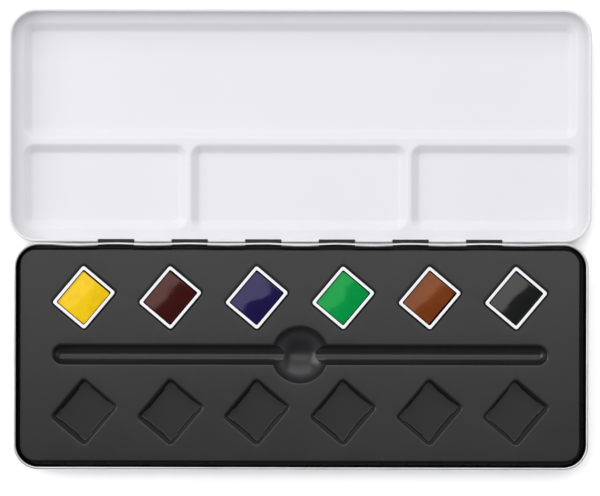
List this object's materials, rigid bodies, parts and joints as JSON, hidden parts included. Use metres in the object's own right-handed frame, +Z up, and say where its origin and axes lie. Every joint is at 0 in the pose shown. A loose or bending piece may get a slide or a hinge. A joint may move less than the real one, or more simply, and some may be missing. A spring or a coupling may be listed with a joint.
{
  "type": "watercolour paint box",
  "caption": "Hinged tin paint box, open flat: mixing wells in the lid, and an insert tray with half pans of paint, empty places and a brush groove in the base.",
  "frame": {"origin": "centre of the flat underside of the base tin", "axes": "+X along the tin to the right, +Y from the front of the base to the opened lid, +Z up, with the lid open flat"},
  "size_m": [0.2282, 0.1802, 0.0124],
  "materials": {
    "base_tinplate": "black lacquer inside, bright tinplate rim and outside",
    "lid_enamel": "smooth white enamel inside, bright tinplate rim and outside",
    "hinge_steel": "drawn bright wire",
    "tray_plastic": "matt dark grey moulded plastic",
    "pan_plastic": "smooth white moulded plastic",
    "yellow_paint": "dried watercolour, slightly glossy",
    "maroon_paint": "dried watercolour, slightly glossy",
    "indigo_paint": "dried watercolour, slightly glossy",
    "green_paint": "dried watercolour, slightly glossy",
    "sienna_paint": "dried watercolour, slightly glossy",
    "black_paint": "dried watercolour, slightly glossy"
  },
  "bodies": {
    "base": {"base_tin": "base_tinplate", "hinge_wire": "hinge_steel"},
    "lid": {"lid_tin": "lid_enamel"},
    "tray": {"insert_tray": "tray_plastic"},
    "pan_1": {"half_pan_1": "pan_plastic", "yellow_paint_cake": "yellow_paint"},
    "pan_2": {"half_pan_2": "pan_plastic", "maroon_paint_cake": "maroon_paint"},
    "pan_3": {"half_pan_3": "pan_plastic", "indigo_paint_cake": "indigo_paint"},
    "pan_4": {"half_pan_4": "pan_plastic", "green_paint_cake": "green_paint"},
    "pan_5": {"half_pan_5": "pan_plastic", "sienna_paint_cake": "sienna_paint"},
    "pan_6": {"half_pan_6": "pan_plastic", "black_paint_cake": "black_paint"}
  },
  "joints": [
    {"name": "lid_hinge", "type": "hinge", "parent": "base", "child": "lid", "pos_m": [-0.0004, 0.0451, 0.0088], "axis": [-1, 0, 0], "range_deg": [-180, 0]},
    {"name": "tray_lift", "type": "slide", "parent": "base", "child": "tray", "axis": [0, 0, 1], "range_m": [0, 0.012]},
    {"name": "pan_1_lift", "type": "slide", "parent": "tray", "child": "pan_1", "axis": [0, 0, 1], "range_m": [0, 0.0095]},
    {"name": "pan_2_lift", "type": "slide", "parent": "tray", "child": "pan_2", "axis": [0, 0, 1], "range_m": [0, 0.0095]},
    {"name": "pan_3_lift", "type": "slide", "parent": "tray", "child": "pan_3", "axis": [0, 0, 1], "range_m": [0, 0.0095]},
    {"name": "pan_4_lift", "type": "slide", "parent": "tray", "child": "pan_4", "axis": [0, 0, 1], "range_m": [0, 0.0095]},
    {"name": "pan_5_lift", "type": "slide", "parent": "tray", "child": "pan_5", "axis": [0, 0, 1], "range_m": [0, 0.0095]},
    {"name": "pan_6_lift", "type": "slide", "parent": "tray", "child": "pan_6", "axis": [0, 0, 1], "range_m": [0, 0.0095]}
  ]
}
